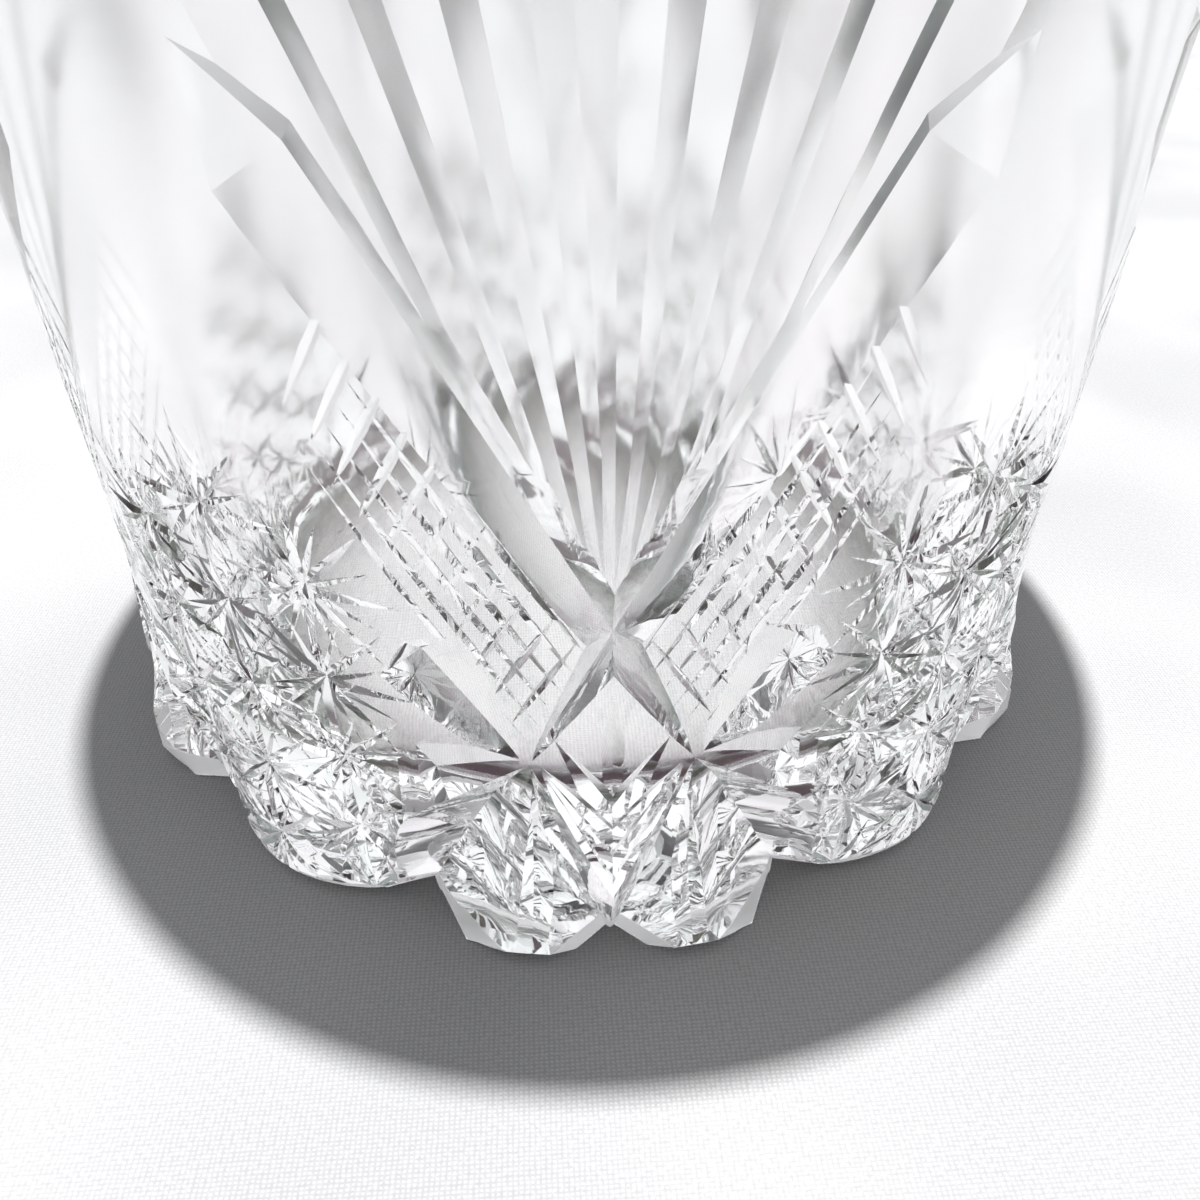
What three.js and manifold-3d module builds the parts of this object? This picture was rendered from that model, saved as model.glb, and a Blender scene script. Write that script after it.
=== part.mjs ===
// A cut crystal vase: one solid body of clear crystal, 250 mm tall, on a lobed foot, with a flared rim.
// The pattern repeats five times round the body. Each repeat has a tall fan of flutes between two crossing
// mitre cuts, a kite with chevrons below the crossing, two shell-shaped foot lobes, and half a panel on each
// side for the fine star cutting, which is under 1 mm deep and isn't part of this solid. Every cut is a
// V-shaped groove sunk into a turned blank, as a cutting wheel leaves it.
// Units are millimetres. +Z is up, the origin is the middle of the underside, and a fan faces -Y.
import * as THREE from "three";
import { mergeVertices } from "three/addons/utils/BufferGeometryUtils.js";
import Module from "manifold-3d";

// Driving dimensions of the blank.
const HEIGHT = 250;
const FOOT_RADIUS = 50.4; // under a fan
const STAR_FOOT_RADIUS = 49; // under the middle of a star panel
const STAR_FOOT_FALL = 3.5; // how much less that radius is at the notch between the lobes
const WAIST_RADIUS = 47.4;
const WAIST_HEIGHT = 25; // above it the foot's lobes have faded out
const RIM_RADIUS = 58.1;
const RIM_ROUND = 1.6;
const FOOT_BEVEL = 1.8;
const FLOOR_THICKNESS = 11;
const WALL_AT_FLOOR = 8.5;
const WALL_AT_RIM = 5;
const FLOOR_ROUND = 6;
const TURNED_SEGMENTS = 60;

// The pattern, whose places are [degrees from the fan's middle, height in mm].
const REPEATS = 5;
const HALF_REPEAT = 180 / REPEATS;
const CROSSING = [0, 31.2];
const JUNCTION = [7.3, 21.5];
const ARM_TOP = [26, 67];
const ARM_BOW = 2; // mm the arm's middle rises above a straight line
const ARM_DEPTH = 2.8;
const FLUTE_START = 2.5; // from the crossing, along the wall
const FLUTE_TIPS = 62;
const FLUTE_FAN = 25; // degrees from the upright to the fan's outermost flute
const FLUTES = 9;
const FLUTE_DEPTH = 1.9;
const LOBE_BLADES = [7.7, 12.7]; // degrees of the foot blades at the underside
const BLADE_END = 1.5;
const BLADE_DEPTH = 2;
const LOBE_NOTCH = 21.4;
const LOBE_BLEND = 2.5; // degrees to each side of the notch over which the lobes' radii blend
const NOTCH_DEPTH = 6.4;
const BROAD_LEAVES = [
  [17.5, 32],
  [17.5, 19],
];
const LEAF_START = [8, 21.9];
const LEAF_DEPTH = 1.1;
const CHEVRON_START = [6.8, 21.8];
const CHEVRONS = [9.3, 12, 14.6]; // heights of the kite's chevrons on its middle line
const TOP_CHEVRON = [5.2, 24.2];
const TOP_CHEVRON_END = 16.8;
const CHEVRON_DEPTH = 0.8;
const KITE_DEPTH = 6.2;
const PAST_MIDDLE = 1.4; // how far the kite's cuts run, as a share of the way to its middle line
const BELOW = -1.5; // the height at which a cut that runs off the foot ends

const wasm = await Module();
wasm.setup();

const { degToRad, radToDeg, lerp, smoothstep, euclideanModulo } = THREE.MathUtils;

// The foot's radius at an angle from the fan's middle, whichever repeat it falls in.
function footRadius(degrees) {
  const fromFan = Math.abs(euclideanModulo(degrees + HALF_REPEAT, 2 * HALF_REPEAT) - HALF_REPEAT);
  const fall = (HALF_REPEAT - fromFan) / (HALF_REPEAT - LOBE_NOTCH);
  const star = STAR_FOOT_RADIUS - STAR_FOOT_FALL * Math.min(fall, 1) ** 2;
  return lerp(FOOT_RADIUS, star, smoothstep(fromFan, LOBE_NOTCH - LOBE_BLEND, LOBE_NOTCH + LOBE_BLEND));
}

// The blank's radius at a height without the foot's lobes: straight, then flared out to the rim.
function wallRadius(z) {
  const share = Math.max(z - WAIST_HEIGHT, 0) / (HEIGHT - WAIST_HEIGHT);
  return lerp(WAIST_RADIUS, RIM_RADIUS, share * share);
}

function bodyRadius(degrees, z) {
  return lerp(footRadius(degrees), wallRadius(z), smoothstep(z, 0, WAIST_HEIGHT));
}

// A point off the blank's wall by the lift, measured outwards from the axis.
function wallPoint(degrees, z, lift = 0) {
  const a = degToRad(degrees);
  const r = bodyRadius(degrees, z) + lift;
  return new THREE.Vector3(r * Math.sin(a), -r * Math.cos(a), z);
}

// A closed geometry as a manifold-3d solid.
function toSolid(geometry) {
  const bare = geometry.clone();
  bare.deleteAttribute("normal");
  bare.deleteAttribute("uv");
  const merged = mergeVertices(bare, 1e-4);
  return new wasm.Manifold(
    new wasm.Mesh({
      numProp: 3,
      vertProperties: new Float32Array(merged.attributes.position.array),
      triVerts: new Uint32Array(merged.index.array),
    }),
  );
}

function toGeometry(solid) {
  const mesh = solid.getMesh();
  const geometry = new THREE.BufferGeometry();
  geometry.setAttribute("position", new THREE.BufferAttribute(mesh.vertProperties, 3));
  geometry.setIndex(new THREE.BufferAttribute(mesh.triVerts, 1));
  geometry.computeVertexNormals();
  return geometry;
}

// A shape turned about +Z from points of [radius, height] that start and end on the axis, lowest first.
function turned(points) {
  const profile = points.map(([r, z]) => new THREE.Vector2(r, z));
  return new THREE.LatheGeometry(profile, TURNED_SEGMENTS).rotateX(Math.PI / 2);
}

// Points of a quarter round from one [radius, height] to another, by way of a corner.
function roundCorner(from, corner, to, steps) {
  const [start, middle, end] = [from, corner, to].map(([r, z]) => new THREE.Vector2(r, z));
  return new THREE.QuadraticBezierCurve(start, middle, end).getPoints(steps).map((p) => [p.x, p.y]);
}

// The blank before the hollow and the cuts: turned to the fans' foot, then drawn in under the star panels.
function blank() {
  const wallHeights = [7, 13, 19, WAIST_HEIGHT, 65, 105, 145, 185, 220];
  const lowRim = HEIGHT - RIM_ROUND;
  const shape = turned([
    [0, 0],
    [FOOT_RADIUS - FOOT_BEVEL, 0],
    [bodyRadius(0, FOOT_BEVEL), FOOT_BEVEL],
    ...wallHeights.map((z) => [bodyRadius(0, z), z]),
    ...roundCorner([wallRadius(lowRim), lowRim], [RIM_RADIUS, HEIGHT], [RIM_RADIUS - RIM_ROUND, HEIGHT], 3),
    [0, HEIGHT],
  ]);
  const vertices = shape.attributes.position;
  for (let i = 0; i < vertices.count; i++) {
    const [x, y, z] = [vertices.getX(i), vertices.getY(i), vertices.getZ(i)];
    const share = bodyRadius(radToDeg(Math.atan2(x, -y)), z) / bodyRadius(0, z);
    vertices.setXYZ(i, x * share, y * share, z);
  }
  return toSolid(shape);
}

// The hollow inside, smooth all over, with a rounded corner at the floor and a rounded lip.
function hollow() {
  const inner = (z) => {
    const share = (z - FLOOR_THICKNESS) / (HEIGHT - FLOOR_THICKNESS);
    return wallRadius(z) - lerp(WALL_AT_FLOOR, WALL_AT_RIM, share);
  };
  const cornerTop = FLOOR_THICKNESS + FLOOR_ROUND;
  const cornerSide = inner(FLOOR_THICKNESS);
  const lip = inner(HEIGHT);
  return toSolid(
    turned([
      [0, FLOOR_THICKNESS],
      ...roundCorner(
        [cornerSide - FLOOR_ROUND, FLOOR_THICKNESS],
        [cornerSide, FLOOR_THICKNESS],
        [inner(cornerTop), cornerTop],
        5,
      ),
      ...[60, 95, 130, 170, 210].map((z) => [inner(z), z]),
      [inner(HEIGHT - RIM_ROUND), HEIGHT - RIM_ROUND],
      [lip + RIM_ROUND * 0.35, HEIGHT - RIM_ROUND * 0.35],
      [lip + RIM_ROUND, HEIGHT],
      [lip + RIM_ROUND, HEIGHT + 1],
      [0, HEIGHT + 1],
    ]),
  );
}

// How deep a cut is along its length, from 0 at both ends to 1 at its peak, a share of the length.
const leaf = (peak) => (t) => Math.sin(Math.PI * t ** (Math.log(0.5) / Math.log(peak)));
// Cuts that start from nothing: deepest where they run off the body, at their end, and just before it.
const runOff = (t) => t;
const rise = (t) => Math.sin((Math.PI / 2) * t);
const swell = (t) => Math.sin(Math.PI * 0.75 * t);
// Deepens towards the end, where the wheel is lifted off.
const blunt = (t) => Math.sin((Math.PI / 2) * t ** 0.8) * Math.min(1, (1 - t) * 8);

// A V-shaped groove along the wall from one place to another: a three-sided bar whose lower edge dips under
// the wall by the depth times the profile, and whose upper face stands clear of it. The bow lifts the middle
// of its path.
function groove(from, to, { depth, halfAngle = 52, profile = leaf(0.5), steps = 4, bow = 0, clear = 1.2 }) {
  const bar = new THREE.CylinderGeometry(1, 1, 1, 3, steps);
  const vertices = bar.attributes.position;
  const spread = Math.tan(degToRad(halfAngle));
  const onWall = (t, lift = 0) =>
    wallPoint(lerp(from[0], to[0], t), lerp(from[1], to[1], t) + 4 * bow * t * (1 - t), lift);
  for (let i = 0; i < vertices.count; i++) {
    const t = 0.5 - vertices.getY(i);
    const side = Math.sign(Math.round(vertices.getX(i) * 100)); // 0 on the lower edge
    const inCap = Math.hypot(vertices.getX(i), vertices.getZ(i)) < 0.5; // the middle of an end
    const point = onWall(t);
    const out = onWall(t, 1).sub(point).normalize();
    const along = onWall(t + 0.01).sub(onWall(t - 0.01)).normalize();
    const across = new THREE.Vector3().crossVectors(along, out);
    const sunk = depth * profile(t) - 0.05;
    if (inCap) point.addScaledVector(out, (clear - sunk) / 2);
    else if (side === 0) point.addScaledVector(out, -sunk);
    else point.addScaledVector(out, clear).addScaledVector(across, side * (clear + sunk) * spread);
    vertices.setXYZ(i, ...point);
  }
  return toSolid(bar);
}

// The place a distance along the wall from another, at an angle from the upright.
function placeAt([degrees, z], distance, angle) {
  const up = distance * Math.cos(degToRad(angle));
  const arc = distance * Math.sin(degToRad(angle));
  return [degrees + radToDeg(arc / wallRadius(z + up / 2)), z + up];
}

const mirrored = ([degrees, z]) => [-degrees, z];

// The long mitre cut that rises from the far junction through the crossing.
function arm() {
  const shape = { depth: ARM_DEPTH, halfAngle: 54, profile: blunt, steps: 8, bow: ARM_BOW };
  return groove(mirrored(JUNCTION), ARM_TOP, shape);
}

// The fan's flutes, from just above the crossing out to their tips.
function flutes() {
  const cuts = [];
  for (let i = 0; i < FLUTES; i++) {
    const angle = lerp(-FLUTE_FAN, FLUTE_FAN, i / (FLUTES - 1));
    const from = placeAt(CROSSING, FLUTE_START, angle);
    const to = placeAt(CROSSING, FLUTE_TIPS, angle);
    cuts.push(groove(from, to, { depth: FLUTE_DEPTH, halfAngle: 56, profile: leaf(0.62) }));
  }
  return cuts;
}

// The cuts that spread away from the kite at one junction: the foot's blades, its notch and the broad leaves.
function junctionCuts() {
  const blade = { depth: BLADE_DEPTH, halfAngle: 58, profile: leaf(0.62) };
  const broad = { depth: LEAF_DEPTH, halfAngle: 76, profile: blunt, steps: 8 };
  const notch = { depth: NOTCH_DEPTH, halfAngle: 50, profile: swell, clear: 5 };
  return [
    ...LOBE_BLADES.map((degrees) => groove(JUNCTION, [degrees, BLADE_END], blade)),
    ...BROAD_LEAVES.map((tip) => groove(LEAF_START, tip, broad)),
    groove(JUNCTION, [LOBE_NOTCH + 0.8, BELOW], notch),
  ];
}

// Half of the kite: its lower edge and its chevrons, which fall to its middle line and are trimmed there.
function kiteCuts() {
  const pastMiddle = ([degrees, z], end) => [lerp(degrees, 0, PAST_MIDDLE), lerp(z, end, PAST_MIDDLE)];
  const chevron = { depth: CHEVRON_DEPTH, halfAngle: 64, profile: rise, steps: 2 };
  const edge = { depth: KITE_DEPTH, halfAngle: 50, profile: runOff, steps: 3 };
  const cuts = wasm.Manifold.union([
    ...CHEVRONS.map((z) => groove(CHEVRON_START, pastMiddle(CHEVRON_START, z), chevron)),
    groove(TOP_CHEVRON, pastMiddle(TOP_CHEVRON, TOP_CHEVRON_END), chevron),
    groove(JUNCTION, pastMiddle(JUNCTION, BELOW), edge),
  ]);
  return cuts.trimByPlane([1, 0, 0], 0);
}

// Every cut of one repeat, joined into one solid.
function repeatCuts() {
  const half = wasm.Manifold.union([arm(), kiteCuts(), ...junctionCuts()]);
  return wasm.Manifold.union([half, half.mirror([1, 0, 0]), ...flutes()]);
}

function crystalBody() {
  const cuts = repeatCuts();
  let body = blank();
  for (let i = 0; i < REPEATS; i++) body = body.subtract(cuts.rotate([0, 0, 2 * HALF_REPEAT * i]));
  const solid = body.subtract(hollow());
  const crystal = new THREE.MeshStandardMaterial({ color: 0xf4f6f8, roughness: 0.03, metalness: 0 });
  const mesh = new THREE.Mesh(toGeometry(solid), crystal);
  mesh.name = "crystal_body";
  return mesh;
}

const vase = new THREE.Group();
vase.add(crystalBody());

export default vase;
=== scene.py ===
"""Looks of the cut crystal vase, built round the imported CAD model.

The vase is one body of clear crystal. A tenth of it, from the middle of a fan to the middle of a star panel,
is cut from a turned blank with V-shaped grooves, as a cutting wheel leaves them. That tenth is mirrored and
repeated. The pattern is worked out in millimetres, and the mesh is scaled to metres at the end.
"""

import copy
import math

import bmesh
import bpy
import numpy as np
from mathutils import Matrix, Vector


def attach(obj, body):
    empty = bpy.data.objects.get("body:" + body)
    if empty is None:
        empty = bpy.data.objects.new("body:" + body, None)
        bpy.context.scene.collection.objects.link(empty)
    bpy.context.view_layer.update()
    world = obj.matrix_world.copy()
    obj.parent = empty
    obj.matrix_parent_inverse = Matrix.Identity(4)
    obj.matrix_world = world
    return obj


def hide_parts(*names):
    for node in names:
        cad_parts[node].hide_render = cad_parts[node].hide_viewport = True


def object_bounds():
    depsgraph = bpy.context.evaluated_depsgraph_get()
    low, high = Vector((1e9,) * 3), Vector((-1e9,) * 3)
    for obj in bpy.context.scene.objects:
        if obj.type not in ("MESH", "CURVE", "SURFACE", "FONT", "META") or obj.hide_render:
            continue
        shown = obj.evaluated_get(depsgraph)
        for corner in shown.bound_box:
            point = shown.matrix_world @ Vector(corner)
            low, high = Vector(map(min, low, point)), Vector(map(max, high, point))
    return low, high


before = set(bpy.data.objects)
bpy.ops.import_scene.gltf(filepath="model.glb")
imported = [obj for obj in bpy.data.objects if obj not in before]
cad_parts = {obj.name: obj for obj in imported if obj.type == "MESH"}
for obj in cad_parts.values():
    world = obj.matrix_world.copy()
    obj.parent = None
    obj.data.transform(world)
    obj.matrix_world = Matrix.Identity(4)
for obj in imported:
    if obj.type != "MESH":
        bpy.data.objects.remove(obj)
cad_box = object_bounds()

MM = 0.001
CAD_NODE = "crystal_body"

# The blank, in millimetres. Its height and rim come from the CAD box.
HEIGHT = cad_box[1].z / MM
RIM_RADIUS = cad_box[1].x / MM
FOOT_RADIUS = 50.4  # under a fan
STAR_FOOT_RADIUS = 49.0  # under the middle of a star panel
STAR_FOOT_FALL = 3.5  # how much less that radius is at the notch between the lobes
WAIST_RADIUS = 47.4
WAIST_HEIGHT = 25.0  # above it the foot's lobes have faded out
RIM_ROUND = 1.6
FOOT_BEVEL = 1.8
FLOOR_THICKNESS = 11.0
FLOOR_ROUND = 6.0
FLAT_FLOOR_RADIUS = 14
WALL_AT_FLOOR = 8.5
WALL_AT_RIM = 5.0

# How finely the blank is divided: the heights of its rings, and the steps of its curves.
FOOT_HEIGHTS = (3, 6, 9, 12, 15, 18, 21.5, 25)
OUTER_HEIGHTS = (*FOOT_HEIGHTS, 30, 36, 42, 50, 58, 66, 76, 88, 104, 124, 148, 172, 196, 220, 236)
INNER_HEIGHTS = (236, 210, 180, 150, 120, 95, 75, 60, 48, 38)
RIM_STEPS = 6
FLOOR_STEPS = 10
SEGMENTS = 24  # in a tenth of a turn
SMOOTH_ANGLE = 9.0  # degrees between faces below which the surface is one smooth one
NEAR = 2e-3  # mm between points that are taken as one

# The pattern. Places are (degrees from the fan's middle, height in mm).
REPEATS = 5
TENTH = 180.0 / REPEATS
CROSSING = (0.0, 31.2)
JUNCTION = (7.3, 21.5)
BELOW = -1.5  # a height just under the foot
ARM_TOP = (26.0, 67.0)
ARM_BOW = 2.0  # mm the arm's middle rises above a straight line
FLUTE_START = 2.5  # mm from the crossing
FLUTE_TIPS = 62.0
FLUTE_FAN = 25.0  # degrees to each side of upright
FLUTES = 9
LOBE_BLADES = (7.7, 12.7)  # degrees at which the foot's blades end
BLADE_END = 1.5
LOBE_NOTCH = 21.4  # degrees, between the fan's lobe and the star panel's
LOBE_BLEND = 2.5
NOTCH_END = (LOBE_NOTCH + 0.8, BELOW)
LEAF_START = (8.0, 21.9)
LEAF_TIPS = ((17.5, 32.0), (17.5, 19.0))
CHEVRON_START = (6.8, 21.8)
CHEVRON_ENDS = (9.3, 12.0, 14.6)
TOP_CHEVRON = (5.2, 24.2)
TOP_CHEVRON_END = 16.8
SPINE_TOP = (0, CROSSING[1] - 2.5)
SPINE_FOOT = (0, TOP_CHEVRON_END - 1)
PAST_MIDDLE = 1.4  # a kite cut's length, where 1 would just reach the kite's middle line. The line trims it.

# Each kind of cut: its depth in mm, and the half angle of its V in degrees.
ARM_CUT = (2.8, 54)
FLUTE_CUT = (1.9, 56)
BLADE_CUT = (2.0, 58)
LEAF_CUT = (1.1, 76)
NOTCH_CUT = (6.4, 50)
KITE_EDGE_CUT = (6.2, 50)
CHEVRON_CUT = (0.8, 64)
SPINE_CUT = (0.35, 70)
LATE_PEAK = 0.62  # how far along a flute or a blade is deepest
NOTCH_CLEAR = 5.0  # mm that the notch's cutter stands off the wall
PROUD = 0.05  # mm that a cutter stays above the wall where the cut has no depth

# Crossed hatching between the arm and the star cutting. Each cut is a little deeper than the last.
LONG_HATCHES = 6  # along the arm
LONG_HATCH = (17.0, 23.3)
FIRST_LONG_HATCH = 0.7  # steps from the junction towards the crossing
STEPS_TO_CROSSING = 6.5
LONG_HATCH_DEEPER = 0.02
SHORT_HATCHES = 11  # across it
SHORT_HATCH = (-6.5, 8.6)
SHORT_HATCH_DEEPER = 0.01
SHORT_HATCH_STARTS = ((9.0, 25.0), (24.0, 48.0))  # the first and the last
HATCH_DEPTH = 0.3
HATCH_HALF_ANGLE = 50

# The star cutting: columns of stars a pitch apart, every other column half a pitch up.
STAR_COLUMN = 25.9
STAR_PITCH = 8.3
STAR_ROWS = 5
FIRST_ROW = 1.7
STAR_HALF_ANGLE = 47
# A star's lines: degrees from the upright, then reach to each side and depth in mm. No two are alike.
STAR_LINES = (
    (0, 8.0, 0.56),
    (88, 7.8, 0.52),
    (45, 8.2, 0.54),
    (-45, 8.2, 0.5),
    (22, 6.4, 0.38),
    (-22, 6.5, 0.36),
    (67, 6.3, 0.37),
    (-67, 6.4, 0.35),
)

# The crystal's finish: spans of height in mm, and roughness from 0 for a perfect polish.
CRYSTAL_IOR = 1.55
FILM_THICKNESS = 700.0  # nm
FILM_IOR = 1.48
BEVEL_TOP = (1.7, 1.9)
BEVEL_ROUGHNESS = 0.5
UNDERSIDE_TOP = (0.02, 0.15)
UNDERSIDE_SHARE = 0.02  # of the bevel's roughness
SOFT_FROM = (32, 64)
SOFT_TO = (85, 125)
SOFT_ROUGHNESS = 0.15
WEAR_SCALE = 55.0
WEAR_NOISE = (0.5, 0.8)
WEAR_ROUGHNESS = 0.02
WHEEL_MARK_SCALE = 210.0
WHEEL_MARK_DISTORTION = 2.0
WHEEL_MARK_STRENGTH = 0.02
WHEEL_MARK_HEIGHT = 0.05 * MM

# The cloth: how fine its weave, fuzz and patches are, the painted shade and painted light they put on it,
# and its colours.
WEAVE_ACROSS = 800.0
WEAVE_ALONG = 1000.0
WEAVE_DISTORTION = 1.5
WEAVE_HEIGHTS = (0.2, 1.2)
# The weave's pattern with painted shade: its low parts are darker, as shade between the threads would make
# them.
WEAVE_PAINTED_SHADES = (0.8, 1.06)
WEAVE_ROUGHNESSES = (0.95, 0.8)
WEAVE_STRENGTH = 0.35
WEAVE_HEIGHT = 0.1 * MM
FUZZ_SCALE = 2600.0
PATCH_SCALE = 14.0
# Painted light: a soft lighter and darker mottle in the cloth's colour, standing in for faint caustics in
# the vase's shadow.
PAINTED_LIGHT_NOISE = (0.35, 0.65)
PAINTED_LIGHT_SHADES = (0.92, 1.08)
COOL_WHITE = (0.85, 0.86, 0.89, 1)
WARM_WHITE = (0.88, 0.87, 0.86, 1)
CLOTH_HALF_WIDTH = 3
CLOTH_DROP = 0.0002  # m under the vase, so that the two surfaces don't coincide

# The camera and the sun. Both are set out square to the vase, then turned together about its axis.
TURN = math.radians(-3.607)
CAMERA_PLACE = (2.06, -95.1, 72.8)  # mm
CAMERA_DOWN = math.radians(37.276)
CAMERA_LENS = 28.5
SENSOR_WIDTH = 36.0
SUN_STRENGTH = 3.05
SUN_WIDTH = math.radians(0.7)
SUN_DRIFT = (0.7, -3.15, 0)  # mm that a ray moves sideways from the rim down to the cloth

# The lamp that stands in for the sunlight through the base.
BASE_PATCH_RADIUS = 37  # mm
BASE_LAMP_HEIGHT = 3.0  # m
BASE_LAMP_POWER = 330.0
BASE_LAMP_RADIUS = 0.01
BASE_PATCH_BLEND = 0.25

# The room's brightness: low down and overhead, in and out of its dark patches, and for diffuse surfaces.
ROOM_HEIGHTS = (0.1, 0.7)  # of the direction, from 0 when level to 1 when upright
ROOM_STRENGTHS = (0.2, 1.15)
DARK_PATCH_SCALE = 2.2
DARK_PATCH_NOISE = (0.38, 0.46)
DARK_PATCH_SHARES = (0.03, 1.0)
DIFFUSE_STRENGTH = 0.3
ROOM_COLOUR = (0.98, 0.99, 1, 1)


def lerp(a, b, t):
    return a + (b - a) * t


def smooth_step(x, low, high):
    t = np.clip((x - low) / (high - low), 0, 1)
    return t * t * (3 - 2 * t)


def foot_radius(degrees):
    """The foot's radius at an angle from the fan's middle, whichever repeat it falls in."""
    from_fan = np.abs((np.asarray(degrees) + TENTH) % (2 * TENTH) - TENTH)
    fall = np.minimum((TENTH - from_fan) / (TENTH - LOBE_NOTCH), 1)
    star_lobe = STAR_FOOT_RADIUS - STAR_FOOT_FALL * fall**2
    blend = smooth_step(from_fan, LOBE_NOTCH - LOBE_BLEND, LOBE_NOTCH + LOBE_BLEND)
    return lerp(FOOT_RADIUS, star_lobe, blend)


def wall_radius(z):
    """The blank's radius without the foot's lobes: straight, then flared out to the rim."""
    share = np.maximum(z - WAIST_HEIGHT, 0) / (HEIGHT - WAIST_HEIGHT)
    return lerp(WAIST_RADIUS, RIM_RADIUS, share * share)


def body_radius(degrees, z):
    return lerp(foot_radius(degrees), wall_radius(z), smooth_step(z, 0, WAIST_HEIGHT))


def fan_radius(z):
    """The blank's radius at the middle of a fan."""
    return float(body_radius(0, z))


def hollow_radius(z):
    share = (z - FLOOR_THICKNESS) / (HEIGHT - FLOOR_THICKNESS)
    return float(wall_radius(z)) - lerp(WALL_AT_FLOOR, WALL_AT_RIM, share)


def on_wall(degrees, z, lift=0.0):
    """Points off the blank's wall by the lift, measured outwards from the axis."""
    angle = np.radians(degrees)
    r = body_radius(degrees, z) + lift
    return np.stack([r * np.sin(angle), -r * np.cos(angle), z + 0 * r], axis=-1)


def place_at(place, distance, angle):
    """The place a distance along the wall from another, at an angle from the upright."""
    up = distance * math.cos(math.radians(angle))
    arc = distance * math.sin(math.radians(angle))
    return (place[0] + math.degrees(arc / float(wall_radius(place[1] + up / 2))), place[1] + up)


def unit(v):
    return v / np.linalg.norm(v, axis=-1, keepdims=True)


# How deep a cut is along its length, as a share of its full depth.
def leaf(peak):
    """No depth at either end, and the full depth at the peak."""
    power = math.log(0.5) / math.log(peak)
    return lambda t: np.sin(np.pi * t**power)


def run_off(t):
    """Deepens evenly to the end, where the cut runs off the body."""
    return t


def rise(t):
    """Deepens quickly at first, and levels out at the end."""
    return np.sin(np.pi / 2 * t)


def swell(t):
    """Deepest two thirds of the way along."""
    return np.sin(np.pi * 0.75 * t)


def blunt(t):
    """Deepens towards the end, and stops in the last eighth, where the wheel is lifted off."""
    return np.sin(np.pi / 2 * t**0.8) * np.minimum(1, (1 - t) * 8)


class Groove:
    """A V-shaped cut along the wall, from one place to another. The bow lifts the middle of its path."""

    def __init__(self, start, end, depth, half_angle, profile=leaf(0.5), steps=8, bow=0.0, clear=1.2):
        self.start = np.array(start, float)
        self.end = np.array(end, float)
        self.depth = depth
        self.half_angle = half_angle
        self.profile = profile
        self.steps = steps
        self.bow = bow
        self.clear = clear

    def mirrored(self, about):
        """The same cut on the other side of the upright plane at that many degrees."""
        other = copy.copy(self)
        other.start, other.end = [np.array((2 * about - p[0], p[1])) for p in (self.start, self.end)]
        return other

    def is_its_own_mirror(self, about):
        flipped = self.mirrored(about)
        same = np.allclose(flipped.start, self.start) and np.allclose(flipped.end, self.end)
        return same or (np.allclose(flipped.start, self.end) and np.allclose(flipped.end, self.start))

    def reaches(self, low, high):
        """Whether the cut comes within a margin of those degrees, which allows for its width."""
        margin = 7.0
        left, right = sorted((self.start[0], self.end[0]))
        return right + margin > low and left - margin < high

    def path(self, t):
        degrees = lerp(self.start[0], self.end[0], t)
        return degrees, lerp(self.start[1], self.end[1], t) + 4 * self.bow * t * (1 - t)

    def mesh(self):
        """A closed three-sided bar whose lower edge dips under the wall by the depth times the profile."""
        t = np.linspace(0, 1, self.steps + 1)
        nudge = 0.01
        point = on_wall(*self.path(t))
        out = unit(on_wall(*self.path(t), 1.0) - point)
        along = unit(on_wall(*self.path(t + nudge)) - on_wall(*self.path(t - nudge)))
        across = np.cross(out, along)
        sunk = (self.depth * self.profile(t) - PROUD)[:, None]
        width = (self.clear + sunk) * math.tan(math.radians(self.half_angle))
        top = point + out * self.clear
        corners = [point - out * sunk, top + across * width, top - across * width]
        verts = np.stack(corners, axis=1).reshape(-1, 3)
        faces = [(0, 2, 1)]
        last = 3 * self.steps
        for i in range(0, last, 3):
            for j in range(3):
                k = (j + 1) % 3
                faces.append((i + j, i + k, i + 3 + k, i + 3 + j))
        faces.append((last, last + 1, last + 2))
        return verts, faces


def arm():
    """The long mitre cut that rises from the far junction through the crossing."""
    return [Groove((-JUNCTION[0], JUNCTION[1]), ARM_TOP, *ARM_CUT, profile=blunt, steps=24, bow=ARM_BOW)]


def flutes():
    """The fan, spread from the crossing."""
    cuts = []
    for i in range(FLUTES):
        angle = lerp(-FLUTE_FAN, FLUTE_FAN, i / (FLUTES - 1))
        start, end = [place_at(CROSSING, distance, angle) for distance in (FLUTE_START, FLUTE_TIPS)]
        cuts.append(Groove(start, end, *FLUTE_CUT, profile=leaf(LATE_PEAK), steps=20))
    return cuts


def junction_cuts():
    """The foot's blades, the broad leaves and the notch between the lobes."""
    cuts = []
    for degrees in LOBE_BLADES:
        cuts.append(Groove(JUNCTION, (degrees, BLADE_END), *BLADE_CUT, profile=leaf(LATE_PEAK)))
    for tip in LEAF_TIPS:
        cuts.append(Groove(LEAF_START, tip, *LEAF_CUT, profile=blunt))
    cuts.append(Groove(JUNCTION, NOTCH_END, *NOTCH_CUT, profile=swell, steps=12, clear=NOTCH_CLEAR))
    return cuts


def to_the_middle(start, z, cut, profile, steps):
    """A cut that meets the kite's middle line at a height, and carries on past it."""
    end = (lerp(start[0], 0, PAST_MIDDLE), lerp(start[1], z, PAST_MIDDLE))
    return Groove(start, end, *cut, profile=profile, steps=steps)


def kite_cuts():
    """Half of each of the kite's chevrons, and half of its lower edge."""
    cuts = [to_the_middle(CHEVRON_START, z, CHEVRON_CUT, rise, 4) for z in CHEVRON_ENDS]
    cuts.append(to_the_middle(TOP_CHEVRON, TOP_CHEVRON_END, CHEVRON_CUT, rise, 4))
    cuts.append(to_the_middle(JUNCTION, BELOW, KITE_EDGE_CUT, run_off, 6))
    return cuts


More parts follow.
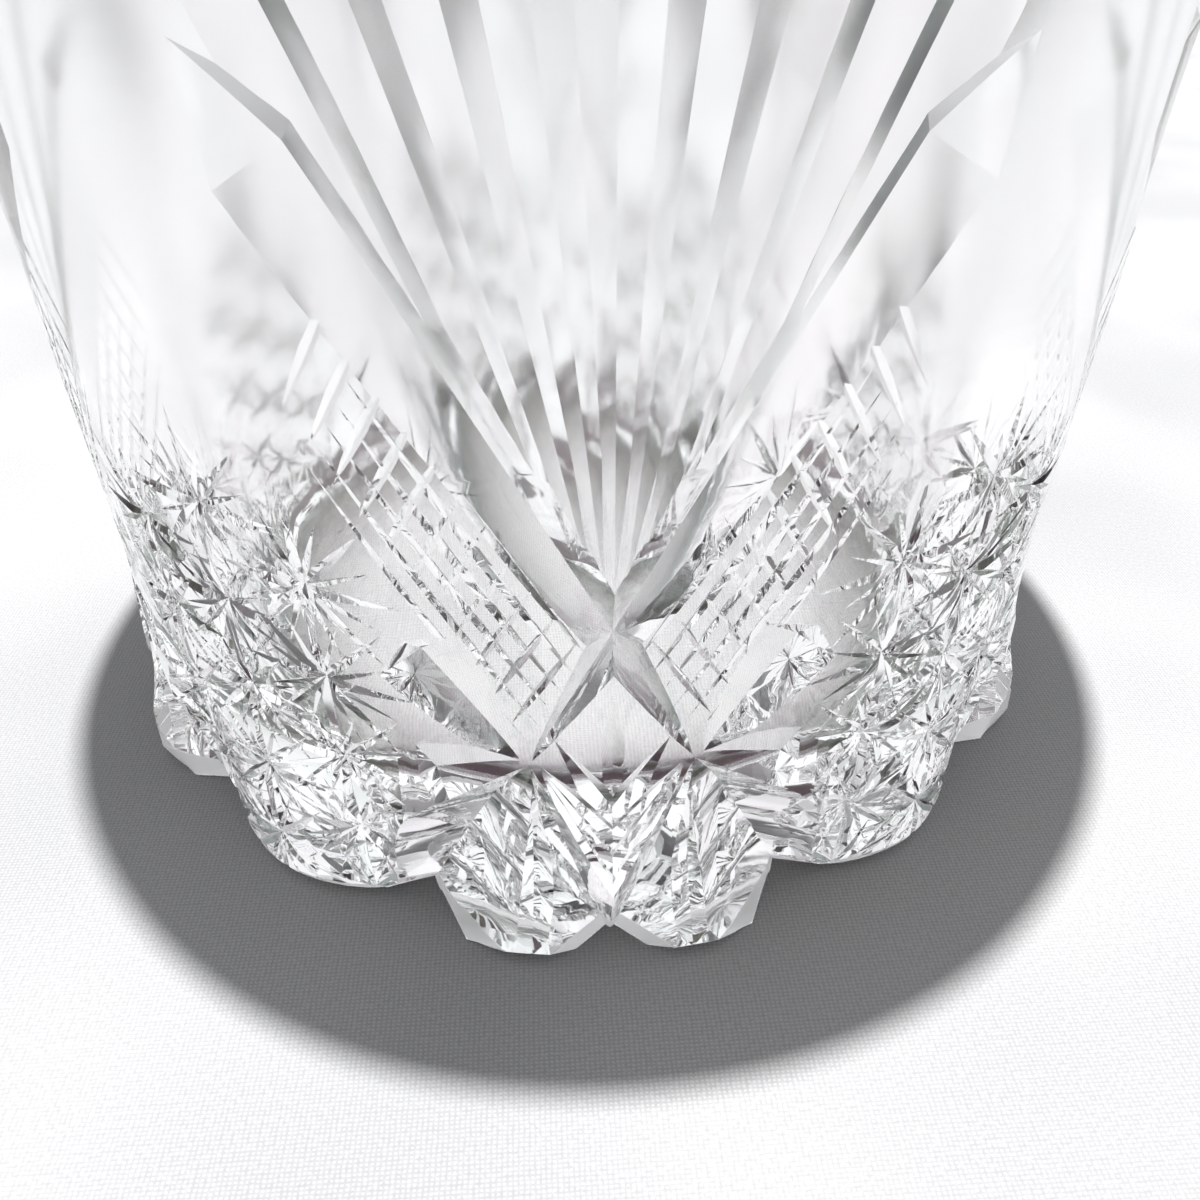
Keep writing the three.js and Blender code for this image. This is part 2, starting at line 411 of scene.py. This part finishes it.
def spine():
    """The fine line down the middle of the kite's smooth upper half."""
    return [Groove(SPINE_TOP, SPINE_FOOT, *SPINE_CUT)]


def hatching():
    junction, crossing, first, last = [np.array(p) for p in (JUNCTION, CROSSING, *SHORT_HATCH_STARTS)]
    cuts = []
    for i in range(LONG_HATCHES):
        start = lerp(junction, crossing, (i + FIRST_LONG_HATCH) / STEPS_TO_CROSSING)
        depth = HATCH_DEPTH + LONG_HATCH_DEEPER * i
        cuts.append(Groove(start, start + LONG_HATCH, depth, HATCH_HALF_ANGLE))
    for i in range(SHORT_HATCHES):
        start = lerp(first, last, i / (SHORT_HATCHES - 1))
        depth = HATCH_DEPTH + SHORT_HATCH_DEEPER * i
        cuts.append(Groove(start, start + SHORT_HATCH, depth, HATCH_HALF_ANGLE, steps=4))
    return cuts


def star(degrees, z):
    cuts = []
    for angle, reach, depth in STAR_LINES:
        start, end = [place_at((degrees, z), distance, angle) for distance in (-reach, reach)]
        cuts.append(Groove(start, end, depth, STAR_HALF_ANGLE, steps=6))
    return cuts


def stars():
    """A column of stars, and the one at the panel's middle, which starts half a pitch higher."""
    cuts = []
    for degrees, pitches_up in ((STAR_COLUMN, 0), (TENTH, 0.5)):
        for row in range(STAR_ROWS):
            cuts += star(degrees, FIRST_ROW + STAR_PITCH * (row + pitches_up))
    return cuts


def all_grooves():
    """Every cut that reaches into the tenth, its neighbours' included."""
    cuts = spine() + kite_cuts()
    for cut in arm() + junction_cuts() + flutes() + hatching() + stars():
        cuts.append(cut)
        cuts += [cut.mirrored(about) for about in (0, TENTH) if not cut.is_its_own_mirror(about)]
    kept = {}
    for cut in cuts:
        if cut.reaches(0, TENTH):
            ends = sorted([tuple(np.round(cut.start, 3)), tuple(np.round(cut.end, 3))])
            kept.setdefault((*ends, cut.depth), cut)
    return list(kept.values())


def rounded(start, corner, end, steps):
    """Points of a curve that leaves the start towards the corner and comes from there to the end."""
    points = []
    for i in range(steps + 1):
        t = i / steps
        points.append(tuple(lerp(lerp(a, b, t), lerp(b, c, t), t) for a, b, c in zip(start, corner, end)))
    return points


def outer_outline():
    """The (radius, height) points of the wall at the middle of a fan, from the underside's edge upwards."""
    points = [(FOOT_RADIUS - FOOT_BEVEL, 0), (fan_radius(FOOT_BEVEL), FOOT_BEVEL)]
    return points + [(fan_radius(z), z) for z in OUTER_HEIGHTS]


def inner_outline():
    """The (radius, height) points over the rim and down the hollow to its floor, alike all the way round."""
    low_rim = HEIGHT - RIM_ROUND
    lip = hollow_radius(HEIGHT)
    outer_edge = ((fan_radius(low_rim), low_rim), (RIM_RADIUS, HEIGHT), (RIM_RADIUS - RIM_ROUND, HEIGHT))
    inner_edge = ((lip + RIM_ROUND, HEIGHT), (lip, HEIGHT), (hollow_radius(low_rim), low_rim))
    wall_end = FLOOR_THICKNESS + FLOOR_ROUND
    corner = hollow_radius(FLOOR_THICKNESS)
    floor_edge = (
        (hollow_radius(wall_end), wall_end),
        (corner, FLOOR_THICKNESS),
        (corner - FLOOR_ROUND, FLOOR_THICKNESS),
    )
    points = rounded(*outer_edge, RIM_STEPS) + rounded(*inner_edge, RIM_STEPS)
    points += [(hollow_radius(z), z) for z in INNER_HEIGHTS]
    points += rounded(*floor_edge, FLOOR_STEPS)
    return points + [(FLAT_FLOOR_RADIUS, FLOOR_THICKNESS)]


def placed(name, data, place=(0, 0, 0)):
    """An object in the scene for a mesh, a lamp or a camera."""
    made = bpy.data.objects.new(name, data)
    bpy.context.scene.collection.objects.link(made)
    made.location = place
    return made


def new_object(name, verts, faces):
    mesh = bpy.data.meshes.new(name)
    mesh.from_pydata([tuple(v) for v in verts], [], faces)
    mesh.update()
    return placed(name, mesh)


def tenth_of_blank():
    """The blank and its hollow, from the middle of a fan to the middle of a star panel, closed all round."""
    outer = outer_outline()
    rings = outer + inner_outline()
    count = len(rings)
    verts = [(0.0, 0.0, 0.0), (0.0, 0.0, FLOOR_THICKNESS)]
    for i in range(SEGMENTS + 1):
        degrees = TENTH * i / SEGMENTS
        angle = math.radians(degrees)
        for j, (r, z) in enumerate(rings):
            share = float(body_radius(degrees, z)) / fan_radius(z) if j < len(outer) else 1.0
            verts.append((r * share * math.sin(angle), -r * share * math.cos(angle), z))
    faces = []
    for i in range(SEGMENTS):
        a = 2 + i * count
        b = a + count
        faces.append((0, b, a))
        faces.append((1, a + count - 1, b + count - 1))
        for j in range(count - 1):
            faces.append((a + j, b + j, b + j + 1, a + j + 1))
    faces.append((0, *range(2, 2 + count), 1))
    last = 2 + SEGMENTS * count
    faces.append((1, *range(last + count - 1, last - 1, -1), 0))
    return new_object("blank", verts, faces)


def cut_tenth():
    blank = tenth_of_blank()
    cutters = [new_object(f"cutter_{i}", *cut.mesh()) for i, cut in enumerate(all_grooves())]
    for cutter in cutters:
        cut = blank.modifiers.new("cut", "BOOLEAN")
        cut.operation = "DIFFERENCE"
        cut.object = cutter
        cut.solver = "MANIFOLD"
    mesh = bpy.data.meshes.new_from_object(blank.evaluated_get(bpy.context.evaluated_depsgraph_get()))
    for leftover in [*cutters, blank]:
        bpy.data.objects.remove(leftover)
    return mesh


def open_tenth(tenth):
    """The tenth without its two end faces, and with its open edges moved exactly onto the end planes."""
    piece = bmesh.new()
    piece.from_mesh(tenth)
    end_angle = math.radians(TENTH)
    for normal in (Vector((1, 0, 0)), Vector((math.cos(end_angle), math.sin(end_angle), 0))):
        ends = [f for f in piece.faces if all(abs(v.co.dot(normal)) < NEAR for v in f.verts)]
        bmesh.ops.delete(piece, geom=ends, context="FACES")
        for v in piece.verts:
            off = v.co.dot(normal)
            if abs(off) < NEAR:
                v.co -= normal * off
    opened = bpy.data.meshes.new("open_tenth")
    piece.to_mesh(opened)
    piece.free()
    return opened


def whole_vase(tenth):
    """Ten copies of the tenth, every other one mirrored, welded where they meet."""
    opened = open_tenth(tenth)
    whole = bmesh.new()
    for i in range(REPEATS):
        for flip in (1, -1):
            turned = opened.copy()
            turn = Matrix.Rotation(2 * math.pi * i / REPEATS, 4, "Z")
            turned.transform(turn @ Matrix.Diagonal((flip, 1, 1, 1)))
            if flip < 0:
                turned.flip_normals()
            whole.from_mesh(turned)
    seams = [v for v in whole.verts if v.is_boundary]
    bmesh.ops.remove_doubles(whole, verts=seams, dist=NEAR)
    bmesh.ops.scale(whole, vec=(MM, MM, MM), verts=whole.verts)
    mesh = bpy.data.meshes.new("crystal_vase")
    whole.to_mesh(mesh)
    whole.free()
    mesh.shade_smooth()
    mesh.set_sharp_from_angle(angle=math.radians(SMOOTH_ANGLE))
    return mesh


class Nodes:
    """Adds and joins the nodes of one tree."""

    def __init__(self, tree):
        self.tree = tree

    def add(self, kind, settings=(), **inputs):
        """A new node. An input is given by its name, with _ for a space, or by its number, such as _0."""
        node = self.tree.nodes.new(kind)
        for name, value in dict(settings).items():
            setattr(node, name, value)
        for name, value in inputs.items():
            numbered = name[0] == "_"
            self.feed(node.inputs[int(name[1:]) if numbered else name.replace("_", " ")], value)
        return node

    def feed(self, socket, value):
        if isinstance(value, bpy.types.NodeSocket):
            self.tree.links.new(value, socket)
        else:
            socket.default_value = value

    def maths(self, operation, a, b):
        return self.add("ShaderNodeMath", {"operation": operation}, _0=a, _1=b).outputs[0]

    def ranged(self, value, span, to_span):
        """The value, taken smoothly from one span to another and held at both ends."""
        node = self.add("ShaderNodeMapRange", {"interpolation_type": "SMOOTHSTEP"})
        for i, given in enumerate((value, *span, *to_span)):
            self.feed(node.inputs[i], given)
        return node.outputs[0]

    def noise(self, place, scale, detail):
        return self.add("ShaderNodeTexNoise", Vector=place, Scale=scale, Detail=detail).outputs[0]

    def waves(self, place, axis, scale, distortion):
        settings = {"bands_direction": axis}
        inputs = {"Vector": place, "Scale": scale, "Distortion": distortion, "Detail": 2.0}
        return self.add("ShaderNodeTexWave", settings, **inputs).outputs[1]

    def bump(self, height, strength, distance):
        return self.add("ShaderNodeBump", Strength=strength, Distance=distance, Height=height).outputs[0]


def new_material(name):
    """A material, the nodes of its tree, its shader and the coordinates of the piece it is on."""
    material = bpy.data.materials.new(name)
    material.use_nodes = True
    nodes = Nodes(material.node_tree)
    shader = material.node_tree.nodes["Principled BSDF"]
    return material, nodes, shader, nodes.add("ShaderNodeTexCoord").outputs["Object"]


def crystal():
    """Polished colourless lead crystal, with a thin film for a hint of colour.

    The foot's bevel is ground and the underside nearly polished. A band of the wall has a softer polish.
    Faint wheel marks and a little wear are all over.
    """
    material, nodes, shader, place = new_material("clear_crystal")
    shader.inputs["Base Color"].default_value = (1, 1, 1, 1)
    shader.inputs["IOR"].default_value = CRYSTAL_IOR
    shader.inputs["Thin Film Thickness"].default_value = FILM_THICKNESS
    shader.inputs["Thin Film IOR"].default_value = FILM_IOR
    shader.inputs["Transmission Weight"].default_value = 1.0
    height = nodes.add("ShaderNodeSeparateXYZ", _0=place).outputs["Z"]

    def by_height(span, under, over):
        return nodes.ranged(height, (span[0] * MM, span[1] * MM), (under, over))

    bevel = by_height(BEVEL_TOP, BEVEL_ROUGHNESS, 0.0)
    ground = nodes.maths("MULTIPLY", bevel, by_height(UNDERSIDE_TOP, UNDERSIDE_SHARE, 1.0))
    softer = by_height(SOFT_FROM, 0.0, SOFT_ROUGHNESS)
    soft = nodes.maths("MULTIPLY", softer, by_height(SOFT_TO, 1.0, 0.0))
    wear = nodes.ranged(nodes.noise(place, WEAR_SCALE, 3.0), WEAR_NOISE, (0.0, WEAR_ROUGHNESS))
    nodes.feed(shader.inputs["Roughness"], nodes.maths("ADD", nodes.maths("ADD", ground, soft), wear))
    wheel_marks = nodes.waves(place, "Z", WHEEL_MARK_SCALE, WHEEL_MARK_DISTORTION)
    nodes.feed(shader.inputs["Normal"], nodes.bump(wheel_marks, WHEEL_MARK_STRENGTH, WHEEL_MARK_HEIGHT))
    return material


vase = placed("crystal_vase", whole_vase(cut_tenth()))
vase.data.materials.append(crystal())
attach(vase, "root")
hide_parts(CAD_NODE)


def cloth():
    """A fine white weave with faintly cool and warm patches, painted shade between its threads and a soft
    painted light mottle for faint caustics.
    """
    material, nodes, shader, place = new_material("pale_floor")
    across = nodes.waves(place, "X", WEAVE_ACROSS, WEAVE_DISTORTION)
    along = nodes.waves(place, "Y", WEAVE_ALONG, WEAVE_DISTORTION)
    fuzz = nodes.noise(place, FUZZ_SCALE, 2.0)
    weave = nodes.maths("ADD", nodes.maths("MULTIPLY", across, along), fuzz)
    patches = nodes.noise(place, PATCH_SCALE, 2.0)
    tint = nodes.add("ShaderNodeMix", {"data_type": "RGBA"}, _0=patches, _6=COOL_WHITE, _7=WARM_WHITE)
    # Painted light: lighter and darker patches multiplied into the colour, standing in for faint caustics in
    # the shadow.
    painted_light_mottle = nodes.ranged(patches, PAINTED_LIGHT_NOISE, PAINTED_LIGHT_SHADES)
    # Painted shade between the threads, multiplied by the painted light mottle.
    shade = nodes.maths("MULTIPLY", nodes.ranged(weave, WEAVE_HEIGHTS, WEAVE_PAINTED_SHADES), painted_light_mottle)
    colour = nodes.add("ShaderNodeVectorMath", {"operation": "SCALE"}, _0=tint.outputs[2], Scale=shade)
    nodes.feed(shader.inputs["Base Color"], colour.outputs[0])
    nodes.feed(shader.inputs["Roughness"], nodes.ranged(weave, WEAVE_HEIGHTS, WEAVE_ROUGHNESSES))
    nodes.feed(shader.inputs["Normal"], nodes.bump(weave, WEAVE_STRENGTH, WEAVE_HEIGHT))
    return material


corners = [(x * CLOTH_HALF_WIDTH, y * CLOTH_HALF_WIDTH, 0) for x, y in ((-1, -1), (1, -1), (1, 1), (-1, 1))]
floor = new_object("floor", corners, [(0, 1, 2, 3)])
floor.location.z = -CLOTH_DROP
floor.data.materials.append(cloth())


def aim(piece, direction):
    piece.rotation_mode = "QUATERNION"
    piece.rotation_quaternion = Vector(direction).to_track_quat("-Z", "Y")


def camera():
    data = bpy.data.cameras.new("camera")
    data.sensor_width = SENSOR_WIDTH
    data.lens = CAMERA_LENS
    data.clip_start = 0.005
    data.clip_end = 50
    turn = Matrix.Rotation(TURN, 3, "Z")
    made = placed("camera", data, turn @ Vector(CAMERA_PLACE) * MM)
    aim(made, turn @ Vector((0, math.cos(CAMERA_DOWN), -math.sin(CAMERA_DOWN))))
    bpy.context.scene.camera = made


def sun():
    data = bpy.data.lights.new("key", "SUN")
    data.energy = SUN_STRENGTH
    data.angle = SUN_WIDTH
    drift = Matrix.Rotation(TURN, 3, "Z") @ Vector(SUN_DRIFT)
    aim(placed("key", data), (drift.x, drift.y, -HEIGHT))


def sunlight_through_the_base():
    """The round patch of sunlight that falls in at the mouth and out through the base onto the cloth."""
    data = bpy.data.lights.new("through_base", "SPOT")
    data.energy = BASE_LAMP_POWER
    data.spot_size = 2 * math.atan(BASE_PATCH_RADIUS * MM / BASE_LAMP_HEIGHT)
    data.spot_blend = BASE_PATCH_BLEND
    data.shadow_soft_size = BASE_LAMP_RADIUS
    lit = bpy.data.collections.new("lit_through_base")
    lit.objects.link(floor)
    lit.objects.link(vase)
    blocking = bpy.data.collections.new("blocks_base_light")
    blocking.objects.link(floor)
    made = placed("through_base", data, (0, 0, BASE_LAMP_HEIGHT))
    made.light_linking.receiver_collection = lit
    made.light_linking.blocker_collection = blocking


def sky():
    """A pale room: soft and bright overhead, greyer low down, with darker patches for the facets to pick up.

    The camera doesn't see the patches. Diffuse surfaces see an even, dimmer light, which keeps the shadow on
    the cloth as deep as full sun makes it.
    """
    world = bpy.data.worlds.new("studio")
    world.use_nodes = True
    nodes = Nodes(world.node_tree)
    direction = nodes.add("ShaderNodeTexCoord").outputs["Generated"]
    height = nodes.add("ShaderNodeSeparateXYZ", _0=direction).outputs["Z"]
    overhead = nodes.ranged(height, ROOM_HEIGHTS, ROOM_STRENGTHS)
    noise = nodes.noise(direction, DARK_PATCH_SCALE, 1.0)
    patches = nodes.ranged(noise, DARK_PATCH_NOISE, DARK_PATCH_SHARES)
    ray = nodes.add("ShaderNodeLightPath").outputs
    room = nodes.maths("MULTIPLY", overhead, nodes.maths("MAXIMUM", patches, ray["Is Camera Ray"]))
    strength = nodes.add("ShaderNodeMix", {"data_type": "FLOAT"}, _2=room, _3=DIFFUSE_STRENGTH)
    nodes.feed(strength.inputs[0], ray["Is Diffuse Ray"])
    background = world.node_tree.nodes["Background"]
    background.inputs["Color"].default_value = ROOM_COLOUR
    nodes.feed(background.inputs["Strength"], strength.outputs[0])
    bpy.context.scene.world = world


def render_settings():
    scene = bpy.context.scene
    scene.view_settings.view_transform = "Standard"
    scene.cycles.max_bounces = 24
    scene.cycles.transmission_bounces = 24
    scene.cycles.glossy_bounces = 16
    scene.cycles.caustics_refractive = False
    scene.cycles.caustics_reflective = False
    scene.cycles.sample_clamp_indirect = 8.0


camera()
sun()
sunlight_through_the_base()
sky()
render_settings()
